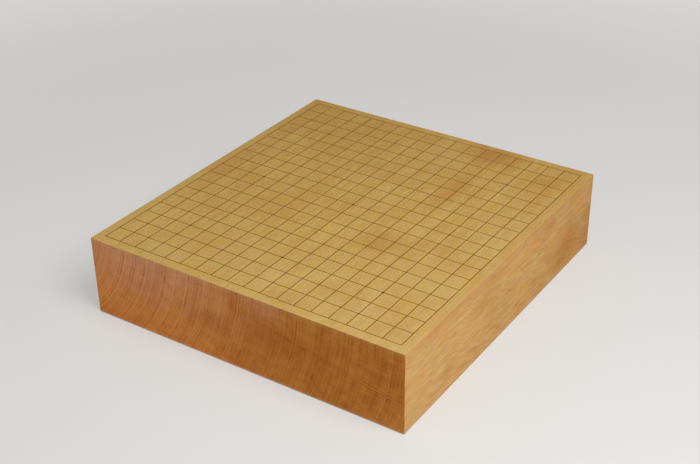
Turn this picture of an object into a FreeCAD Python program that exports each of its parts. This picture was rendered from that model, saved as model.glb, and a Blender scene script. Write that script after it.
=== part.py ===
import FreeCAD, Part
import math
import os

# A thick one-piece table go board with a raised lacquer grid.
#
# The board is one solid slab of softwood that rests on its whole underside. It has no legs, no drawers
# and nothing inside. The grid on its playing face is lacquer that stands proud of the wood. The
# lengthwise lines are laid first, the crosswise lines are laid over them, and nine star points are
# dotted over the crossings last. Each of them is a deposit of its own, so each is a solid of its own.
#
# Frame, in millimetres: the origin is the centre of the underside, +X runs along the end-grain edge,
# +Y runs along the grain from one player to the other, and +Z is up.

# The slab.
board_width = 424.2       # one shaku four sun, across the grain
board_length = 454.5      # one shaku five sun, along the grain
board_thickness = 101.8   # about three sun four bu, to the bare wood of the playing face
top_chamfer = 0.6         # the fine thread chamfer round the playing face
corner_chamfer = 0.8      # down the four upright corners
foot_chamfer = 1.5        # round the underside, where a sharp edge would splinter

# The lacquer lines.
line_count = 19           # lines each way
border_margin = 12.15     # from the slab's edge to the centre of the outermost line
line_width = 0.8          # where the lacquer meets the wood
flank_lean = 0.12         # how far each flank leans in on its way up
lengthwise_height = 0.10  # how proud of the wood the first lines stand
lap_height = 0.05         # how much more the second lines stand, where they lap over the first

# The star points.
star_diameter = 2.8
star_height = 0.24        # at the crown of the dot
star_slopes = 4           # straight slopes from the foot of the dot to its crown
star_line_number = 4      # the outer star points lie on the fourth line from each edge

# Worked out from the sizes above.
pitch_across = (board_width - 2 * border_margin) / (line_count - 1)
pitch_along = (board_length - 2 * border_margin) / (line_count - 1)
crown_half_width = line_width / 2 - flank_lean
crosswise_height = lengthwise_height + lap_height
line_numbers = range(1, line_count + 1)
star_line_numbers = (star_line_number, (line_count + 1) // 2, line_count + 1 - star_line_number)
up = FreeCAD.Vector(0, 0, 1)


def line_x(number):
    """Centre of a lengthwise line, counted from 1 at the left edge."""
    return border_margin - board_width / 2 + (number - 1) * pitch_across


def line_y(number):
    """Centre of a crosswise line, counted from 1 at the near edge."""
    return border_margin - board_length / 2 + (number - 1) * pitch_along


def eased_block(width, height, low_chamfer, high_chamfer, to_plane, run):
    """A bar whose section is a rectangle centred on u = 0 and standing on v = 0, with chamfered corners.

    to_plane(u, v) places a point of the section, and run is the vector that the section is drawn along.
    """
    half = width / 2
    outline = [
        (half - low_chamfer, 0), (half, low_chamfer),
        (half, height - high_chamfer), (half - high_chamfer, height),
        (high_chamfer - half, height), (-half, height - high_chamfer),
        (-half, low_chamfer), (low_chamfer - half, 0), (half - low_chamfer, 0),
    ]
    section = Part.makePolygon([to_plane(u, v) for u, v in outline])
    return Part.Face(section).extrude(run)


def slab():
    """The wooden block: what its front view, its side view and its plan view have in common."""
    half_width, half_length = board_width / 2, board_length / 2
    front = eased_block(board_width, board_thickness, foot_chamfer, top_chamfer,
                        lambda u, v: FreeCAD.Vector(u, -half_length, v),
                        FreeCAD.Vector(0, board_length, 0))
    side = eased_block(board_length, board_thickness, foot_chamfer, top_chamfer,
                       lambda u, v: FreeCAD.Vector(-half_width, u, v),
                       FreeCAD.Vector(board_width, 0, 0))
    plan = eased_block(board_width, board_length, corner_chamfer, corner_chamfer,
                       lambda u, v: FreeCAD.Vector(u, v - half_length, 0),
                       FreeCAD.Vector(0, 0, board_thickness))
    return front.common(side).common(plan)


def lacquer_strip(height, start, run):
    """A line's deposit from start along run: a flat crown between two leaning flanks."""
    sideways = up.cross(run).normalize()
    foot = line_width / 2
    outline = [(-foot, 0), (foot, 0), (crown_half_width, height), (-crown_half_width, height), (-foot, 0)]
    section = Part.makePolygon([start + sideways * u + up * v for u, v in outline])
    return Part.Face(section).extrude(run)


def lengthwise_line(number):
    """A first-laid line. Its ends lie under the crowns of the outermost crosswise lines."""
    near_end = FreeCAD.Vector(line_x(number), line_y(1) - crown_half_width, board_thickness)
    far_end = FreeCAD.Vector(line_x(number), line_y(line_count) + crown_half_width, board_thickness)
    return lacquer_strip(lengthwise_height, near_end, far_end - near_end)


def crosswise_line(number, lines_below):
    """A second-laid line. It runs unbroken and laps over every lengthwise line in its way."""
    left_end = FreeCAD.Vector(line_x(1) - crown_half_width, line_y(number), board_thickness)
    right_end = FreeCAD.Vector(line_x(line_count) + crown_half_width, line_y(number), board_thickness)
    return lacquer_strip(crosswise_height, left_end, right_end - left_end).cut(lines_below)


def star_point(column, row, lines_below):
    """A low dome over a crossing, seated on the two lines beneath it.

    Its section is a quarter of an ellipse in straight slopes, turned about the upright axis of the crossing.
    """
    crossing = FreeCAD.Vector(line_x(column), line_y(row), board_thickness)
    foot = star_diameter / 2
    turns = [math.pi / 2 * slope / star_slopes for slope in range(star_slopes)]
    outline = [(foot * math.cos(turn), star_height * math.sin(turn)) for turn in turns]
    outline += [(0, star_height), (0, 0), (foot, 0)]
    section = Part.makePolygon([crossing + FreeCAD.Vector(u, 0, v) for u, v in outline])
    return Part.Face(section).revolve(crossing, up, 360).cut(lines_below)


def save(name, shape):
    """Write one piece, which must be a single sound solid, to parts/name.step."""
    if len(shape.Solids) != 1 or not shape.isValid():
        print("LOOK AT", name, "solids:", len(shape.Solids), "valid:", shape.isValid())
    shape.Solids[0].exportStep(os.path.join("parts", name + ".step"))


os.makedirs("parts", exist_ok=True)
save("board_slab", slab())

lengthwise_lines = {number: lengthwise_line(number) for number in line_numbers}
first_layer = list(lengthwise_lines.values())
crosswise_lines = {number: crosswise_line(number, first_layer) for number in line_numbers}
for number in line_numbers:
    save(f"lengthwise_line_{number:02d}", lengthwise_lines[number])
    save(f"crosswise_line_{number:02d}", crosswise_lines[number])

for column, side in zip(star_line_numbers, ("left", "centre", "right")):
    for row, depth in zip(star_line_numbers, ("near", "middle", "far")):
        star = star_point(column, row, [lengthwise_lines[column], crosswise_lines[row]])
        save(f"star_point_{side}_{depth}", star)
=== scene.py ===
import math
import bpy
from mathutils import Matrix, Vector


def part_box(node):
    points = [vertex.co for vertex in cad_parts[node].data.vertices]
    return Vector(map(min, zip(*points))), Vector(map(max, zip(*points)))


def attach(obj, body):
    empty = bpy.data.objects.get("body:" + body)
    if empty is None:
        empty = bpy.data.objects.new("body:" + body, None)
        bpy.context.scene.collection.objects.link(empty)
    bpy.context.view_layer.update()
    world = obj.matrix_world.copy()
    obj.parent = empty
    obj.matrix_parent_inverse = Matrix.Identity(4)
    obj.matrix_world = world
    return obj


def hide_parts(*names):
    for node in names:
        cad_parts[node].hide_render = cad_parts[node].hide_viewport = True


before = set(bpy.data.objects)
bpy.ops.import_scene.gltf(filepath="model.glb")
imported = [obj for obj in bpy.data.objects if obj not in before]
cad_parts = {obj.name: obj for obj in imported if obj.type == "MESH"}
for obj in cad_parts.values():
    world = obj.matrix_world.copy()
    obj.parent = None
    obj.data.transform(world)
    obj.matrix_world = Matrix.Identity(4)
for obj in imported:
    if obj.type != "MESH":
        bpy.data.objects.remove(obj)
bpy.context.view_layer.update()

from types import SimpleNamespace
import bpy
import numpy as np
from mathutils import Matrix, Vector

mm = 0.001                                             # the frame is in metres

camera = {
    "place": (0.7306, -1.0944, 0.8386),
    "lookingAlong": (-0.4690, 0.7234, -0.5066),
    "rollDeg": 0.25,                                   # turned to the right about the line of sight
    "lensMm": 64.46,
    "sensorMm": 36.0,
    "shift": (-0.0254, -0.0021),
}


def placeCamera(values):
    # the camera's -Z points along the line of sight and its +Y as near to up as it can, then it rolls
    lens = bpy.data.cameras.new("boardCamera")
    lens.sensor_width = values["sensorMm"]
    lens.lens = values["lensMm"]
    lens.shift_x, lens.shift_y = values["shift"]
    lens.clip_start, lens.clip_end = 0.01, 30
    holder = bpy.data.objects.new("boardCamera", lens)
    bpy.context.scene.collection.objects.link(holder)
    level = Vector(values["lookingAlong"]).to_track_quat("-Z", "Y").to_matrix()
    roll = Matrix.Rotation(math.radians(-values["rollDeg"]), 3, "Z")
    holder.matrix_world = Matrix.Translation(values["place"]) @ (level @ roll).to_4x4()
    bpy.context.scene.camera = holder


placeCamera(camera)
print("camera placed")


class Wire:
    # a shader value that can be written in sums: each operator adds the Math node for it
    def __init__(self, sheet, socket):
        self.sheet, self.socket = sheet, socket

    def __add__(self, other):
        return self.sheet.maths("ADD", self, other)

    def __radd__(self, other):
        return self.sheet.maths("ADD", other, self)

    def __sub__(self, other):
        return self.sheet.maths("SUBTRACT", self, other)

    def __rsub__(self, other):
        return self.sheet.maths("SUBTRACT", other, self)

    def __mul__(self, other):
        return self.sheet.maths("MULTIPLY", self, other)

    def __rmul__(self, other):
        return self.sheet.maths("MULTIPLY", other, self)

    def __truediv__(self, other):
        return self.sheet.maths("DIVIDE", self, other)

    def __rtruediv__(self, other):
        return self.sheet.maths("DIVIDE", other, self)

    def __pow__(self, other):
        return self.sheet.maths("POWER", self, other)

    def __abs__(self):
        return self.sheet.maths("ABSOLUTE", self)


class NodeSheet:
    # adds nodes to one node tree, of a material or of the world
    def __init__(self, tree):
        self.tree = tree

    def node(self, kind, settings=None, values=None, out=0):
        made = self.tree.nodes.new(kind)
        for name, setting in (settings or {}).items():
            setattr(made, name, setting)
        for key, value in (values or {}).items():
            self.feed(self.pick(made.inputs, key), value)
        return Wire(self, self.pick(made.outputs, out))

    def pick(self, sockets, key):
        # by number, or the first socket in use that has that name
        if isinstance(key, int):
            return sockets[key]
        return next(socket for socket in sockets if socket.enabled and socket.name == key)

    def feed(self, socket, value):
        if isinstance(value, Wire):
            self.tree.links.new(value.socket, socket)
        else:
            socket.default_value = value

    def maths(self, operation, *values):
        return self.node("ShaderNodeMath", {"operation": operation}, dict(enumerate(values)))

    def larger(self, first, second):
        return self.maths("MAXIMUM", first, second)

    def fraction(self, value):
        return self.maths("FRACT", value)

    def vector(self, operation, first, second=(0, 0, 0), out="Vector"):
        # SCALE takes one number, and the others take a second vector
        place = "Scale" if operation == "SCALE" else 1
        return self.node("ShaderNodeVectorMath", {"operation": operation}, {0: first, place: second}, out)

    def objectMm(self):
        # the object coordinates in millimetres, as a vector
        metres = self.node("ShaderNodeTexCoord", out="Object")
        return self.vector("MULTIPLY", metres, (1000, 1000, 1000))

    def split(self, vector):
        parts = self.node("ShaderNodeSeparateXYZ", values={0: vector})
        node = parts.socket.node
        return tuple(Wire(self, node.outputs[axis]) for axis in "XYZ")

    def join(self, x, y, z):
        return self.node("ShaderNodeCombineXYZ", values={0: x, 1: y, 2: z})

    def cloud(self, at, grainMm, detail, seed, roughness=0.5):
        # noise about zero, mostly within -0.3..0.3, stretched to grainMm along each axis
        stretched = self.vector("DIVIDE", at, grainMm)
        moved = self.vector("ADD", stretched, (seed, seed * 1.7, -seed))
        fac = self.node("ShaderNodeTexNoise", {"noise_dimensions": "3D"},
                        {"Vector": moved, "Scale": 1.0, "Detail": detail, "Roughness": roughness}, "Fac")
        return fac - 0.5

    def wander(self, along, stepMm, detail, seed):
        # noise about zero that changes with one value alone
        fac = self.node("ShaderNodeTexNoise", {"noise_dimensions": "1D"},
                        {"W": along / stepMm + seed, "Scale": 1.0, "Detail": detail}, "Fac")
        return fac - 0.5

    def ease(self, value, start, end, low=0.0, high=1.0):
        # low up to start, high from end, and a smooth step between them
        return self.node("ShaderNodeMapRange", {"interpolation_type": "SMOOTHSTEP"},
                         {"Value": value, "From Min": start, "From Max": end, "To Min": low, "To Max": high})

    def mix(self, share, first, second):
        # first where share is 0, second where it is 1
        return self.node("ShaderNodeMix", {"data_type": "RGBA", "clamp_factor": True},
                         {"Factor": share, "A": first, "B": second}, "Result")

    def bump(self, height, depthMm):
        # height runs 0..1 and stands for depthMm
        return self.node("ShaderNodeBump", None, {"Height": height, "Distance": depthMm * mm})

    def seenPlainly(self):
        # 1 where the eye, a mirror or a clear body looks, 0 where light is gathered
        byEye = self.node("ShaderNodeLightPath", out="Is Camera Ray")
        inMirror = self.node("ShaderNodeLightPath", out="Is Glossy Ray")
        throughGlass = self.node("ShaderNodeLightPath", out="Is Transmission Ray")
        return self.larger(byEye, self.larger(inMirror, throughGlass))


class Finish(NodeSheet):
    # one material: its Principled shader, whose constants are set here
    def __init__(self, name, **constants):
        self.material = bpy.data.materials.new(name)
        self.material.use_nodes = True
        super().__init__(self.material.node_tree)
        self.shader = self.tree.nodes["Principled BSDF"]
        self.link(**constants)

    def link(self, **sockets):
        for name, value in sockets.items():
            self.feed(self.shader.inputs[name.replace("_", " ")], value)


def shade(red, green, blue):
    # a colour as it looks on a screen, 0..255, turned into the linear colour that a socket takes
    parts = np.array([red, green, blue]) / 255
    linear = np.where(parts <= 0.04045, parts / 12.92, ((parts + 0.055) / 1.055) ** 2.4)
    return (*linear.tolist(), 1.0)


def carriedSection(name, rings):
    # rings[i, j] is point j of closed section i: quads join each section to the next, and flat caps end them
    count, around = rings.shape[:2]
    section, point = np.meshgrid(np.arange(count - 1), np.arange(around), indexing="ij")
    nextPoint = (point + 1) % around
    quads = np.stack([section * around + point, section * around + nextPoint,
                      (section + 1) * around + nextPoint, (section + 1) * around + point], axis=-1)
    firstCap = np.arange(around)[::-1].tolist()
    lastCap = (np.arange(around) + (count - 1) * around).tolist()
    mesh = bpy.data.meshes.new(name)
    mesh.from_pydata(rings.reshape(-1, 3).tolist(), [], quads.reshape(-1, 4).tolist() + [firstCap, lastCap])
    mesh.polygons.foreach_set("use_smooth", np.ones(len(mesh.polygons), bool))
    mesh.update()
    piece = bpy.data.objects.new(name, mesh)
    bpy.context.scene.collection.objects.link(piece)
    return piece


def boxOf(node):
    low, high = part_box(node)
    return np.array(low), np.array(high)


def install(piece, node, material):
    # the piece stands for its CAD node, rides on the one body and takes its finish
    piece.data.materials.append(material)
    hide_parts(node)
    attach(piece, "root")


block = {
    "edgeRoundMm": 0.8,                                # the thread chamfer, worn to a soft round
    "cornerRoundMm": 0.7,                              # down the four upright corners, in plan
    "roundSteps": 4,
    "supportMm": 1.5,                                  # a row this far from each round keeps the faces flat
}


def roundedRectangle(halfWidth, halfLength, radius, support, steps):
    # plan outline, counter-clockwise: four quarter circles, with one more point beside each end of each
    turn = np.linspace(0, math.pi / 2, steps + 1)
    outline = []
    for corner, (sideX, sideY) in enumerate(((1, 1), (-1, 1), (-1, -1), (1, -1))):
        angle = turn + corner * math.pi / 2
        centre = np.array([sideX * (halfWidth - radius), sideY * (halfLength - radius)])
        arc = centre + radius * np.stack([np.cos(angle), np.sin(angle)], axis=-1)
        before = arc[0] + support * np.array([math.sin(angle[0]), -math.cos(angle[0])])
        after = arc[-1] + support * np.array([-math.sin(angle[-1]), math.cos(angle[-1])])
        outline += [before[None], arc, after[None]]
    return np.concatenate(outline)


def makeBlock(values, low, high):
    # the plan outline is carried up the height: it grows by a quarter circle at the foot, stands upright,
    # and shrinks by a quarter circle at the top. Rows beside the rounds keep the flat faces flat
    edge, corner, support = values["edgeRoundMm"] * mm, values["cornerRoundMm"] * mm, values["supportMm"] * mm
    size, centre = high - low, (high + low) / 2
    turn = np.linspace(0, math.pi / 2, values["roundSteps"] + 1)
    inset = np.concatenate([[edge + support], edge * (1 - np.sin(turn)), [0, 0],
                            edge * (1 - np.cos(turn)), [edge + support]])
    height = np.concatenate([[0], edge * (1 - np.cos(turn)), [edge + support, size[2] - edge - support],
                             size[2] - edge + edge * np.sin(turn), [size[2]]])
    rings = []
    for shrink, rise in zip(inset, height):
        radius = max(corner - shrink, 0.1 * corner)
        halfWidth, halfLength = size[:2] / 2 - shrink
        plan = roundedRectangle(halfWidth, halfLength, radius, support, values["roundSteps"])
        rings.append(np.column_stack([plan + centre[:2], np.full(len(plan), low[2] + rise)]))
    return carriedSection("woodBlock", np.array(rings))


wood = {
    "pithMm": (-402.0, 122.4),                         # the tree's centre, in X and Z
    "ovalness": 1.78,                                  # how much faster the rings pass in Z than in X
    "ringMm": (2.2, 1.5),                              # width of a year near the pith and near the bark
    "ringSpanMm": (200, 620),                          # how far the board lies from the pith, in and out
    "yearShift": 5,                                    # how many years the count runs early or late
    "yearRise": (0.25, 0.90),                          # parts of a year in which it darkens slowly
    "yearFall": (0.92, 1.0, 1.0, 0.0),                 # and in which the dark ends sharply
    "driftMm": 5.0,                                    # slow bending of the rings
    "swayMm": 40,                                      # how far the flames of the long sides rise and dip
    "flameFall": 0.12,                                 # and how much they fall towards the far end
    "rayScaleMm": 420,                                 # turns a ray's slope into a distance across the rays
    # noises in the block: size of a grain along X, Y and Z in mm, detail and seed. Fibres run along Y
    "noises": {
        "drift": ((150, 380, 110), 1.0, 3.1),
        "ripple": ((28, 44, 20), 2.0, 8.4),
        "sway": ((60, 80, 60), 0.0, 9.0),
        "fibre": ((1.3, 45, 1.3), 2.0, 5.0),
        "pore": ((1.1, 3.2, 1.1), 1.0, 31.0),
        "mottle": ((10, 30, 10), 2.0, 17.0),
        "patch": ((44, 60, 30), 2.0, 12.0),
        "tone": ((110, 170, 50), 1.0, 6.0),
        "fading": ((13, 30, 13), 1.0, 15.0),
        "rosier": ((9, 16, 9), 2.0, 21.0),
        "yellower": ((10, 20, 10), 2.0, 27.0),
    },
    # the same for what sways with the flames, with the flames' roughness
    "flameNoises": {
        "flame": ((42, 36, 5.5), 4.0, 1.0, 0.66),
        "streak": ((24, 24, 2.0), 2.0, 14.0),
    },
    # the same for what lies along the rays: size of a grain along a ray, across it and along Y
    "rayNoises": {
        "rays": ((9, 0.9, 30), 1.0, 7.0),
        "broadRays": ((60, 2.8, 30), 1.0, 3.0),
    },
    # noises from year to year: step in mm, detail and seed
    "yearNoises": {
        "bands": (17, 2.0, 4.0),
        "years": (3.4, 2.0, 9.0),
        "shift": (14, 1.0, 2.0),
    },
    # figures: how much each pattern adds. Y adds a slow change along the board: lighter towards the near end
    # and darker towards the far end, a painted light and shade
    "topFigure": {"bands": 0.38, "years": 0.26, "edges": 0.10, "fibre": 0.6, "pore": 1.1,
                  "tone": 0.5, "patch": 0.45, "mottle": 0.25, "y": 1 / 2000},
    "roseFigure": {"patch": 1.0, "tone": 1.0},
    "sideFigure": {"flame": 3.3, "edges": 0.25, "fibre": 1.6, "patch": 0.35, "y": 1 / 900},
    "peachFigure": {"patch": 1.0, "mottle": 0.5, "flame": 0.8},
    "endFigure": {"bands": 0.7, "lines": 1.0, "rays": 0.7, "broadRays": 0.7, "fibre": 0.9,
                  "mottle": 0.45, "patch": 0.6},
    "rustFigure": {"years": 1.0, "bands": 0.8, "patch": 0.5},
    "lineFigure": {"edges": 0.6, "darkYears": 1.5},    # the lines of the years on end grain
    "darkYearsFrom": -0.10,                            # paler years than this leave no line
    "spotOutline": {"mottle": 0.8, "flame": 0.8},      # unevenness of a stained place's outline
    "topStain": {"fibre": 1.0, "years": 1.0},          # how the grain shows through a stain
    "sideStain": {"fibre": 1.0, "flame": 1.0},
    "endStain": {"edges": 0.4},
    "stainShares": (0.9, 0.8),                         # of a stain on long grain, and on end grain
    # changes: where each begins and ends, then its share at each of the two
    "topDark": (-0.45, 0.49, 0.0, 1.0),                # of the figure
    "marginPale": (1.0, 4.0, 0.0, 0.15),               # mm outside the grid
    "leftPale": (-200, -205, 0.0, 0.20),               # X
    "nearRightLightTint": (-10, 290, 0.0, 0.28),                # X, and a part of Y that makes it slant
    "nearRightLightSlant": 0.4,
    "rosePlaces": (-0.05, 0.35, 0.0, 0.40),            # of the figure
    "sideDark": (-0.62, 1.60, 0.0, 1.0),
    "sideLively": (-200, 200, 0.55, 1.0),              # X: calmer near the pith
    "sideFoot": (45, 5, 0.0, 0.15),                    # Z
    "peachPlaces": (-0.10, 0.35, 0.0, 0.65),
    "streakDark": (-0.05, 0.30, 0.0, 0.15),
    "rippleMm": (-212, 212, 2.0, 4.0),                 # X: quick waves of the rings, in mm
    "barkward": (-190, 130, 0.0, 1.0),                 # X
    "paintedSheenAcross": (70, -150, 0.0, 1.0),                # X: a painted pink sheen on the pith's side
    "paintedSheenEdge": (-225, -140, 0.5, 1.0),                # X
    "paintedSheenUp": (22, 100, 0.0, 0.9),                     # Z
    "paintedGlowDown": (24, 2, 0.0, 0.7),                     # Z: a painted orange glow of bounced light along the foot
    "paintedGlowAcross": (120, -60, 0.35, 1.0),               # X
    "paintedLightWaverMm": 60,                                 # how unevenly the painted sheen and the painted glow end
    "broadRayPlaces": (60, 200, 0.0, 1.0),             # X
    "lineFading": (-0.15, 0.15, 0.30, 1.2),
    "lineStrength": (-190, 150, 0.75, 1.30),           # X
    "endDark": (-0.72, 1.38, 0.0, 1.0),
    "rustPlaces": (0.0, 0.45, 0.0, 0.4),
    # long grain, on the playing face and underneath
    "straw": shade(194, 160, 92),
    "honey": shade(172, 130, 52),
    "rose": shade(190, 138, 72),
    "amber": shade(168, 114, 46),
    "nearRightLightCream": shade(178, 153, 106),
    "pale": shade(186, 157, 93),
    # long grain cut along the rings, on the two long sides, which are darker along the top
    "sidePale": shade(202, 160, 98),
    "sideGold": shade(168, 109, 14),
    "sidePeach": shade(208, 149, 68),
    "sideAmber": shade(174, 110, 30),
    "sideBrow": shade(188, 134, 82),
    "browMm": (82, 97, 0.0, 0.34),                     # a change, over Z
    # end grain, from the pith side to the bark side
    "endWarm": shade(203, 136, 67),
    "endRed": shade(162, 84, 28),
    "endGold": shade(181, 120, 45),
    "endBrown": shade(138, 68, 0),
    # a painted pink sheen over the upper part of the end, as a pale and a deep colour
    "endPaintedSheenPale": shade(200, 145, 107),
    "endPaintedSheenDeep": shade(158, 94, 52),
    # a painted glow of bounced light along the foot of the end
    "endPaintedGlow": shade(206, 126, 52),
    "rust": shade(172, 86, 28),
    "greenShare": 0.20,                                # how much green and blue change from place to place
    "blueShare": 0.76,
    # edges painted pale as a painted highlight, all round the foot and along the upper edge of the ends, and
    # amber rims where lacquer has crept into the wood
    "paintedEdgeHighlight": shade(184, 154, 122),
    "paintedFootHighlightMm": (4.8, 0.6, 0.0, 0.5),                    # a change, over Z: all round the foot
    "paintedUpperHighlightMm": (95, 99, 0.0, 0.10),                # and along the upper edge of the ends
    "rim": shade(189, 141, 30),
    "rimMm": (1.3, 0.3, 0.0, 0.66),                    # a change, over the distance from a line's middle
    "rimPastGridMm": (1.4, 0.8),                       # where the rims end outside the grid
    # places that resin has coloured: centre, half sizes in X, Y and Z, and strength
    "blushes": (
        ((81, -55, 102), (34, 32, 14), 0.60),
        ((128, -36, 102), (28, 14, 14), 0.40),
        ((84, 204, 102), (40, 36, 14), 0.92),
        ((172, 174, 102), (20, 18, 14), 0.45),
        ((85, 96, 102), (16, 74, 14), 0.44),
        ((78, -174, 102), (28, 22, 14), 0.34),
        ((58, -208, 102), (32, 20, 14), 0.32),
        ((88, -94, 102), (22, 18, 14), 0.24),
        ((-18, 90, 102), (26, 30, 14), 0.26),
        ((-150, -158, 102), (30, 26, 14), 0.20),
        ((-92, 140, 102), (30, 30, 14), 0.20),
        ((-170, 52, 102), (20, 44, 14), 0.20),
        ((186, 222, 102), (30, 14, 14), 0.26),
        ((-187, 156, 102), (9, 14, 14), 0.40),
        ((183, -200, 102), (30, 18, 14), 0.25),
        ((208, 40, 102), (10, 220, 5), 0.22),
        ((-188, 60, 102), (10, 190, 14), 0.35),
        ((212, 160, 32), (10, 54, 38), 0.80),
        ((212, 216, 24), (8, 26, 30), 0.70),
        ((212, -66, 69), (8, 30, 10), 0.45),
        ((212, -136, 30), (8, 16, 8), 0.45),
        ((212, 4, 44), (8, 22, 9), 0.35),
        ((212, 218, 55), (8, 10, 16), 0.55),
        ((212, 100, 82), (8, 24, 12), 0.40),
        ((212, -36, 84), (8, 40, 16), 0.30),
        ((212, -36, 34), (8, 32, 34), 0.25),
        ((212, -150, 96), (8, 90, 12), 0.20),
        ((212, 82, 16), (8, 28, 14), 0.35),
        ((60, -227, 56), (60, 9, 24), 0.35),
        ((-38, -227, 49), (24, 9, 14), 0.40),
    ),
    # places that stayed pale: the same
    "blooms": (
        # on the near end, this pale place also spreads the painted sheen
        ((34, -227, 93), (34, 9, 20), 0.50),
        ((22, 168, 102), (46, 70, 14), 0.40),
        ((30, 104, 102), (26, 26, 14), 0.35),
        ((-110, -206, 102), (44, 22, 14), 0.65),
        ((-26, -166, 102), (56, 64, 14), 0.34),
        ((170, -95, 102), (60, 36, 14), 0.50),
    ),
    "spotReach": (0.1, 1.35),                          # full inside the first, gone outside the second
    # shakes: fine cracks along rays, on the front end alone. Start and end in X and Z, and strength
    "shakes": (
        ((23, 72.5), (212, 36.5), 1.0),
        ((-62, 61), (46, 12), 0.35),
    ),
    "shakeOpenMm": (95, 165),                          # X over which a shake opens
    "shakeDepthMm": 6,
    "shakeDarkMm": (3.2, 1.0),                         # half width, and where it is darkest
    "shakePaleMm": (1.5, 0.6),
    "shakeBeginsMm": (-8, 25),                         # X over which a shake begins, from its start
    "shakeEndsMm": (20, -5),                           # and from its end
    "shakeShares": (0.54, 0.85),                       # how dark and how pale it gets
    "shakeBend": (16, 2.0, 1.0),                       # noises along X: step in mm, detail and seed
    "shakeBendMm": 3,
    "shakeDashes": (9, 1.0, 6.0),
    "dashPlaces": (-0.10, 0.12),
    # where one face's grain gives way to the next one's: mm inside the block's faces
    "uprightMm": (0.2, 0.7),                           # below the top
    "sideMm": (0.4, 0.05),
    "endMm": (0.7, 0.15),
    "roughness": 0.48,
    "endRoughness": 0.12,                              # more on end grain
    "fibreRoughness": 0.1,
    "reliefMm": 0.02,                                  # depth of the fibres
    "relief": {"fibre": 1.0, "edges": 0.2},
}


def addClouds(finish, grain, at, noises):
    for name, noise in noises.items():
        setattr(grain, name, finish.cloud(at, *noise))


def figureOf(grain, weights):
    # the sum of the named patterns, each times its weight
    return sum(getattr(grain, name) * weight for name, weight in weights.items())


def readRings(finish, values, grain):
    # distance from the pith of a tree that is wider than high: sqrt(dx^2 + ovalness dz^2), bent and rippled
    fromPithX, fromPithZ = grain.x - values["pithMm"][0], grain.z - values["pithMm"][1]
    plain = (fromPithX * fromPithX + fromPithZ * fromPithZ * values["ovalness"]) ** 0.5
    ripple = grain.ripple * finish.ease(grain.x, *values["rippleMm"])
    grain.radius = plain + grain.drift * values["driftMm"] + ripple
    grain.raySlope = fromPithZ / fromPithX


def yearEdges(finish, values, grain):
    # years that narrow outwards, of uneven width, each darkening slowly and ending sharply: 0..1
    inner, outer = values["ringSpanMm"]
    widest, narrowest = values["ringMm"]
    narrowing = (1 / narrowest - 1 / widest) / (outer - inner)
    past = grain.radius - inner
    count = past / widest + past * past * (narrowing / 2) + grain.shift * values["yearShift"]
    phase = finish.fraction(count)
    return finish.ease(phase, *values["yearRise"]) * finish.ease(phase, *values["yearFall"])


def spotShare(finish, values, spots, grain):
    # the strongest of the spots here, with an uneven outline
    unevenness = figureOf(grain, values["spotOutline"])
    share = 0
    for centre, halfSize, strength in spots:
        away = finish.vector("DIVIDE", finish.vector("SUBTRACT", grain.at, centre), halfSize)
        reach = finish.vector("LENGTH", away, out="Value") + unevenness
        share = finish.larger(share, finish.ease(reach, *values["spotReach"], strength, 0.0))
    return share


def readGrain(finish, values):
    # the patterns that fill the whole block, so that a streak goes on round a corner
    grain = SimpleNamespace(at=finish.objectMm())
    grain.x, grain.y, grain.z = finish.split(grain.at)
    addClouds(finish, grain, grain.at, values["noises"])
    readRings(finish, values, grain)
    for name, noise in values["yearNoises"].items():
        setattr(grain, name, finish.wander(grain.radius, *noise))
    grain.edges = yearEdges(finish, values, grain)
    flowing = grain.z + grain.sway * values["swayMm"] + grain.y * values["flameFall"]
    addClouds(finish, grain, finish.join(grain.x, grain.y, flowing), values["flameNoises"])
    acrossRays = grain.raySlope * values["rayScaleMm"]
    addClouds(finish, grain, finish.join(grain.radius, acrossRays, grain.y), values["rayNoises"])
    grain.blush = spotShare(finish, values, values["blushes"], grain)
    grain.bloom = spotShare(finish, values, values["blooms"], grain)
    return grain


def rimShare(finish, values, grain, gridHalfMm):
    # strongest beside a grid line: the distance to the nearest of 19 lines, each way, and none past the grid
    share = 0
    for place, half in zip((grain.x, grain.y), gridHalfMm):
        pitch = half / 9
        away = abs(finish.fraction(place / pitch + 0.5) - 0.5) * pitch
        share = finish.larger(share, finish.ease(away, *values["rimMm"]))
    none, full = values["rimPastGridMm"]
    for place, half in zip((grain.x, grain.y), gridHalfMm):
        share = share * finish.ease(abs(place), half + none, half + full)
    return share


def topColour(finish, values, grain, gridHalfMm):
    # quiet straight grain, greyer towards the near right as a painted tint of the light that falls there,
    # rosy in places, and paler on the margins
    dark = finish.ease(figureOf(grain, values["topFigure"]), *values["topDark"])
    top = finish.mix(dark, values["straw"], values["honey"])
    outside = finish.larger(abs(grain.x) - gridHalfMm[0], abs(grain.y) - gridHalfMm[1])
    margin = finish.ease(outside, *values["marginPale"]) + finish.ease(grain.x, *values["leftPale"])
    top = finish.mix(margin, top, values["straw"])
    # painted light: the top turns cream towards the near right, where the light falls strongest
    nearRightLightShare = finish.ease(grain.x - grain.y * values["nearRightLightSlant"], *values["nearRightLightTint"])
    top = finish.mix(nearRightLightShare, top, values["nearRightLightCream"])
    rosy = finish.ease(figureOf(grain, values["roseFigure"]), *values["rosePlaces"])
    top = finish.mix(rosy, top, values["rose"])
    top = finish.mix(grain.bloom, top, values["pale"])
    stain = figureOf(grain, values["topStain"]) + values["stainShares"][0]
    top = finish.mix(grain.blush * stain, top, values["amber"])
    return finish.mix(rimShare(finish, values, grain, gridHalfMm), top, values["rim"])


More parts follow.
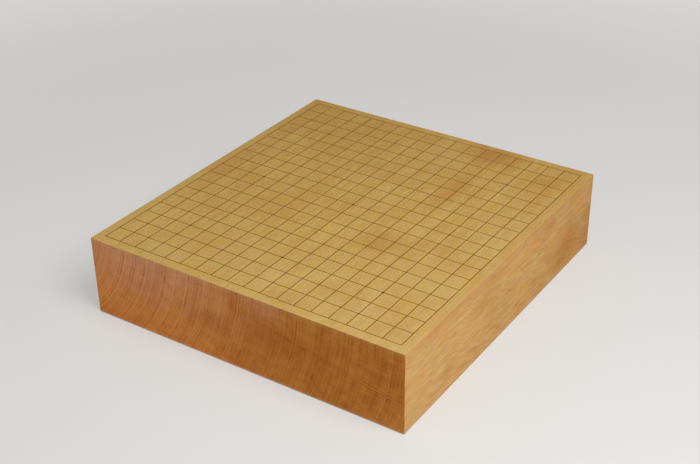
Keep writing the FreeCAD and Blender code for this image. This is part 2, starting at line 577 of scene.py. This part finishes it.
def sideColour(finish, values, grain):
    # the year edges run nearly level here and break into soft flames with fine dark streaks
    lively = finish.ease(grain.x, *values["sideLively"])
    calmed = SimpleNamespace(**{**vars(grain), "flame": grain.flame * lively})
    figure = figureOf(calmed, values["sideFigure"]) + finish.ease(grain.z, *values["sideFoot"])
    side = finish.mix(finish.ease(figure, *values["sideDark"]), values["sidePale"], values["sideGold"])
    peachy = finish.ease(figureOf(grain, values["peachFigure"]), *values["peachPlaces"])
    side = finish.mix(peachy * lively, side, values["sidePeach"])
    side = finish.vector("SCALE", side, 1 - finish.ease(grain.streak, *values["streakDark"]))
    side = finish.mix(finish.ease(grain.z, *values["browMm"]), side, values["sideBrow"])
    stain = figureOf(grain, values["sideStain"]) + values["stainShares"][0]
    return finish.mix(grain.blush * stain, side, values["sideAmber"])


def shakeMarks(finish, values, grain, halfLengthMm):
    # dashed and dark where a shake begins, and pale with dark sides where it stands open near the bark
    x = grain.x
    near = finish.ease(grain.y, values["shakeDepthMm"] - halfLengthMm, 0.2 - halfLengthMm)
    dashes = finish.ease(finish.wander(x, *values["shakeDashes"]), *values["dashPlaces"])
    bend = finish.wander(x, *values["shakeBend"]) * values["shakeBendMm"]
    opening = finish.ease(x, *values["shakeOpenMm"])
    beginLow, beginFull = values["shakeBeginsMm"]
    endNone, endFull = values["shakeEndsMm"]
    darkShare, paleShare = values["shakeShares"]
    darkest, palest = 0, 0
    for (startX, startZ), (endX, endZ), strength in values["shakes"]:
        line = startZ + (x - startX) * ((endZ - startZ) / (endX - startX))
        away = abs(grain.z - line + bend)
        present = finish.ease(x, startX + beginLow, startX + beginFull)
        present = present * finish.ease(x, endX + endNone, endX + endFull) * strength
        dark = finish.ease(away, *values["shakeDarkMm"]) * (opening + dashes) * darkShare * present
        pale = finish.ease(away, *values["shakePaleMm"]) * opening * paleShare * present
        darkest, palest = finish.larger(dark, darkest), finish.larger(pale, palest)
    return darkest * near, palest * near


def endPair(finish, values, grain):
    # the pale and the deep colour of end grain, which change from the pith to the bark, and upwards: a
    # painted pink sheen high on the pith's side, and a painted orange glow along the foot
    barkward = finish.ease(grain.x, *values["barkward"])
    pale = finish.mix(barkward, values["endWarm"], values["endGold"])
    deep = finish.mix(barkward, values["endRed"], values["endBrown"])
    # painted sheen: pink over the upper part of the pith's side, and over the pale places of the end
    haze = finish.ease(grain.x, *values["paintedSheenAcross"]) * finish.ease(grain.x, *values["paintedSheenEdge"])
    haze = haze * finish.ease(grain.z + grain.patch * values["paintedLightWaverMm"], *values["paintedSheenUp"])
    haze = finish.larger(haze, grain.bloom)
    pale = finish.mix(haze, pale, values["endPaintedSheenPale"])
    deep = finish.mix(haze, deep, values["endPaintedSheenDeep"])
    # painted glow: orange along the foot
    paintedGlowShare = finish.ease(grain.z + grain.mottle * values["paintedLightWaverMm"], *values["paintedGlowDown"])
    paintedGlowShare = paintedGlowShare * finish.ease(grain.x, *values["paintedGlowAcross"])
    return finish.mix(paintedGlowShare, pale, values["endPaintedGlow"]), deep


def endColour(finish, values, grain, halfLengthMm):
    # arcs of years with fine rays across them, rusty in places, and the shakes
    pale, deep = endPair(finish, values, grain)
    grain.broadRays = grain.broadRays * finish.ease(grain.x, *values["broadRayPlaces"])
    strength = finish.ease(grain.fading, *values["lineFading"])
    strength = strength * finish.ease(grain.x, *values["lineStrength"])
    grain.darkYears = finish.larger(grain.years, values["darkYearsFrom"])
    grain.lines = figureOf(grain, values["lineFigure"]) * strength
    end = finish.mix(finish.ease(figureOf(grain, values["endFigure"]), *values["endDark"]), pale, deep)
    rusty = finish.ease(figureOf(grain, values["rustFigure"]), *values["rustPlaces"])
    end = finish.mix(rusty, end, values["rust"])
    stain = figureOf(grain, values["endStain"]) + values["stainShares"][1]
    end = finish.mix(grain.blush * stain, end, deep)
    shakeDark, shakePale = shakeMarks(finish, values, grain, halfLengthMm)
    end = finish.mix(shakeDark, end, deep)
    return finish.mix(shakePale, end, pale)


def makeWood(values, sizeMm, gridHalfMm):
    finish = Finish("solidWood", IOR=1.45, Specular_IOR_Level=0.15)
    halfWidth, halfLength, height = sizeMm
    grain = readGrain(finish, values)
    top = topColour(finish, values, grain, gridHalfMm)
    side = sideColour(finish, values, grain)
    end = endColour(finish, values, grain, halfLength)
    # the rounds along the top show long grain down to where the face stands upright
    upright = finish.ease(grain.z, *(height - inside for inside in values["uprightMm"]))
    onSide = finish.ease(abs(grain.x), *(halfWidth - inside for inside in values["sideMm"]))
    onEnd = finish.ease(abs(grain.y), *(halfLength - inside for inside in values["endMm"])) * upright
    colour = finish.mix(onEnd, finish.mix(onSide, top, side), end)
    # painted highlight: paler all round the foot and along the upper edge of the ends
    paintedEdgeHighlight = finish.ease(grain.z + grain.fibre, *values["paintedFootHighlightMm"])
    paintedEdgeHighlight = paintedEdgeHighlight + finish.ease(grain.z, *values["paintedUpperHighlightMm"]) * onEnd
    colour = finish.mix(paintedEdgeHighlight, colour, values["paintedEdgeHighlight"])
    # the hue wanders: some places are rosier and some are yellower
    green, blue = 1 - grain.rosier * values["greenShare"], 1 - grain.yellower * values["blueShare"]
    colour = finish.vector("MULTIPLY", colour, finish.join(1.0, green, blue))
    roughness = values["roughness"] + grain.fibre * values["fibreRoughness"] + onEnd * values["endRoughness"]
    relief = finish.bump(figureOf(grain, values["relief"]), values["reliefMm"])
    finish.link(Base_Color=colour, Roughness=roughness, Normal=relief)
    return finish.material


lacquer = {
    "soakMm": 0.02,                                    # how far the lacquer reaches into the wood
    "samplesAcross": 7,
    "sampleStepMm": 2.0,                               # along a line
    "endRoundMm": 0.35,                                # the blade lifts off in a rounded end
    "widthShare": (0.93, 1.0),                         # of the CAD width, for a line along X and along Y
    "widthWander": 0.05,                               # share of the width
    "heightWander": 0.10,                              # share of the height
    "wavesMm": (47.0, 19.0, 7.3),                      # wavelengths of both
    "waveWeights": (0.5, 0.3, 0.2),
    "wavePhases": (1.3, 2.9, 4.1),
    "beadPowers": (2.6, 2.2),                          # of the squared ellipse, across and upwards
    "lapHalfMm": 0.7,                                  # half the length of the climb over another line
    "lapRows": (-1, -0.6, -0.3, 0, 0.3, 0.6, 1),       # shares of it
    "lapShare": 0.22,                                  # the climb's share of the height
    "starPointsAround": 28,
    "starRows": 7,
    "starClimb": 0.96,                                 # share of a quarter turn, which leaves a flat crown
    "lineDark": shade(44, 26, 4),                      # thin enough for the wood to warm it
    "lineWarm": shade(80, 50, 8),
    "starDark": shade(16, 8, 0),                       # laid thicker
    "starWarm": shade(34, 20, 4),
    "thinness": ((3, 3, 3), 2.0, 0.0),                 # a noise: grain size in mm, detail and seed
    "warmShare": 0.4,
    "roughness": 0.38,
    "roughnessShift": 0.2,                             # rougher where it is thin
}


def slowWander(values, where, seed):
    # three sines of unrelated wavelengths, about -1..1
    phase = np.array(values["wavePhases"]) * (seed + 1)
    waves = np.array(values["wavesMm"]) * mm
    return np.sum(values["waveWeights"] * np.sin(2 * math.pi * where[:, None] / waves + phase), axis=1)


def makeLine(values, node, seed, crossings, along):
    # a bead: its section is the upper half of a squared ellipse, its plan is straight with round ends,
    # width and height wander a little, and the crown rises where it laps over the lines that it crosses
    low, high = boxOf(node)
    across, tip, lapHalf = 1 - along, values["endRoundMm"] * mm, values["lapHalfMm"] * mm
    rows = int((high[along] - low[along]) / (values["sampleStepMm"] * mm)) + 1
    even = np.linspace(low[along], high[along], rows)
    laps = (crossings[:, None] + np.array(values["lapRows"]) * lapHalf).ravel()
    tipOffsets = tip * (1 - np.cos(np.linspace(0, math.pi / 2, 6)))
    where = np.concatenate([even, laps, low[along] + tipOffsets, high[along] - tipOffsets])
    where = np.unique(np.round(np.clip(where, low[along], high[along]), 6))
    fromTip = np.minimum(where - low[along], high[along] - where) / tip
    taper = np.sqrt(1 - np.clip(1 - fromTip, 0, 0.98) ** 2)
    half = (high[across] - low[across]) / 2 * taper * values["widthShare"][along]
    half = half * (1 + values["widthWander"] * slowWander(values, where, seed))
    crown = (high[2] - low[2]) * taper ** 0.5
    if len(crossings):
        nearest = np.min(np.abs(where[:, None] - crossings), axis=1) / lapHalf
        crown = crown * (1 - values["lapShare"] * (1 - np.clip(1 - nearest ** 2, 0, 1)))
    crown = crown * (1 - values["heightWander"] * (0.5 + 0.5 * slowWander(values, where, seed + 7)))
    u = np.cos(np.linspace(0, math.pi, values["samplesAcross"]))
    acrossPower, upPower = values["beadPowers"]
    bead = (1 - np.abs(u) ** acrossPower) ** (1 / upPower)
    soak = values["soakMm"] * mm
    rings = np.zeros((len(where), len(u), 3))
    rings[:, :, along] = where[:, None]
    rings[:, :, across] = (low[across] + high[across]) / 2 + half[:, None] * u
    rings[:, :, 2] = low[2] - soak + (crown[:, None] + soak) * bead
    if along == 0:
        rings = rings[:, ::-1]
    return carriedSection(node + "_bead", rings)


def makeStar(values, node):
    # circles that shrink and rise by a quarter of an ellipse, from the foot to the crown
    low, high = boxOf(node)
    soak = values["soakMm"] * mm
    centre, foot = (low + high) / 2, (high[0] - low[0]) / 2
    climb = np.linspace(0, math.pi / 2 * values["starClimb"], values["starRows"])
    angle = np.linspace(0, 2 * math.pi, values["starPointsAround"], endpoint=False)
    radius = foot * np.cos(climb)
    rings = np.zeros((len(climb), len(angle), 3))
    rings[:, :, 0] = centre[0] + radius[:, None] * np.cos(angle)
    rings[:, :, 1] = centre[1] + radius[:, None] * np.sin(angle)
    rings[:, :, 2] = (low[2] - soak + (high[2] - low[2] + soak) * np.sin(climb))[:, None]
    return carriedSection(node + "_dot", rings)


def makeLacquer(values, name, dark, warm):
    # near-black, warmed by the wood where it is thin
    finish = Finish(name, IOR=1.5, Specular_IOR_Level=0.04)
    thin = finish.cloud(finish.objectMm(), *values["thinness"])
    colour = finish.mix(thin + values["warmShare"], values[dark], values[warm])
    roughness = thin * values["roughnessShift"] + values["roughness"]
    finish.link(Base_Color=colour, Roughness=roughness)
    return finish.material


lengthwise = sorted(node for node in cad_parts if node.startswith("lengthwise_line"))
crosswise = sorted(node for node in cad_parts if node.startswith("crosswise_line"))
stars = sorted(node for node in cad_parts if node.startswith("star_point"))
lengthwiseX = np.array([sum(boxOf(node))[0] / 2 for node in lengthwise])
crosswiseY = np.array([sum(boxOf(node))[1] / 2 for node in crosswise])

low, high = boxOf("board_slab")
woodFinish = makeWood(wood, high / mm, (lengthwiseX.max() / mm, crosswiseY.max() / mm))
install(makeBlock(block, low, high), "board_slab", woodFinish)
print("block made")

lineFinish = makeLacquer(lacquer, "lineLacquer", "lineDark", "lineWarm")
starFinish = makeLacquer(lacquer, "starLacquer", "starDark", "starWarm")
for seed, node in enumerate(lengthwise):
    install(makeLine(lacquer, node, seed, np.array([]), 1), node, lineFinish)
for seed, node in enumerate(crosswise):
    install(makeLine(lacquer, node, seed + 40, lengthwiseX, 0), node, lineFinish)
for node in stars:
    install(makeStar(lacquer, node), node, starFinish)
print("grid laid:", len(lengthwise), "by", len(crosswise), "lines and", len(stars), "star points")


studio = {
    "floorSize": 16.0,
    "floor": shade(221, 219, 216),
    "haze": shade(218, 217, 215),                      # what the eye sees of the room
    "hazeShare": 0.5,                                  # over the floor near the board
    "hazeFrom": 0.6, "hazeTo": 1.5,                    # the floor fades into the room over these distances
    "skyStrength": 0.32,
    # lamps that face the middle of the board: place, width and height, watts
    "key": ((0.8, -0.36, 1.15), (0.8, 0.8), 17.5),
    "fill": ((-1.0, -1.4, 0.5), (1.0, 1.0), 5),
    "back": ((-0.2, 1.5, 0.05), (1.2, 0.1), 3),        # low, for the far end alone
}


def makeFloor(values):
    # the floor keeps the shadow, and the haze over it keeps its far part as pale as its near part
    finish = Finish("paleFloor", Base_Color=values["floor"], Roughness=0.9)
    lit = Wire(finish, finish.shader.outputs[0])
    haze = finish.node("ShaderNodeEmission", None, {"Color": values["haze"], "Strength": 1.0})
    away = finish.vector("LENGTH", finish.node("ShaderNodeTexCoord", out="Object"), out="Value")
    share = finish.ease(away, values["hazeFrom"], values["hazeTo"], values["hazeShare"])
    share = finish.seenPlainly() * share
    both = finish.node("ShaderNodeMixShader", None, {0: share, 1: lit, 2: haze})
    finish.feed(finish.tree.nodes["Material Output"].inputs["Surface"], both)
    half, drop = values["floorSize"] / 2, -0.2 * mm
    mesh = bpy.data.meshes.new("floor")
    corners = [(-half, -half, drop), (half, -half, drop), (half, half, drop), (-half, half, drop)]
    mesh.from_pydata(corners, [], [(0, 1, 2, 3)])
    mesh.materials.append(finish.material)
    floor = bpy.data.objects.new("floor", mesh)
    bpy.context.scene.collection.objects.link(floor)


def makeLamp(name, place, size, watts):
    lamp = bpy.data.lights.new(name, "AREA")
    lamp.shape, lamp.energy = "RECTANGLE", watts
    lamp.size, lamp.size_y = size
    holder = bpy.data.objects.new(name, lamp)
    holder.location = place
    holder.rotation_euler = (-Vector(place)).to_track_quat("-Z", "Y").to_euler()
    bpy.context.scene.collection.objects.link(holder)


def makeWorld(values):
    # an even white sky lights the board, and the eye sees the haze instead
    world = bpy.data.worlds.new("studio")
    world.use_nodes = True
    sheet = NodeSheet(world.node_tree)
    sky = sheet.node("ShaderNodeBackground", None, {"Color": (1, 1, 1, 1), "Strength": values["skyStrength"]})
    haze = sheet.node("ShaderNodeBackground", None, {"Color": values["haze"], "Strength": 1.0})
    both = sheet.node("ShaderNodeMixShader", None, {0: sheet.seenPlainly(), 1: sky, 2: haze})
    sheet.feed(world.node_tree.nodes["World Output"].inputs["Surface"], both)
    bpy.context.scene.world = world


makeFloor(studio)
for name in ("key", "fill", "back"):
    makeLamp(name, *studio[name])
makeWorld(studio)
bpy.context.scene.view_settings.view_transform = "Standard"
print("studio lit")
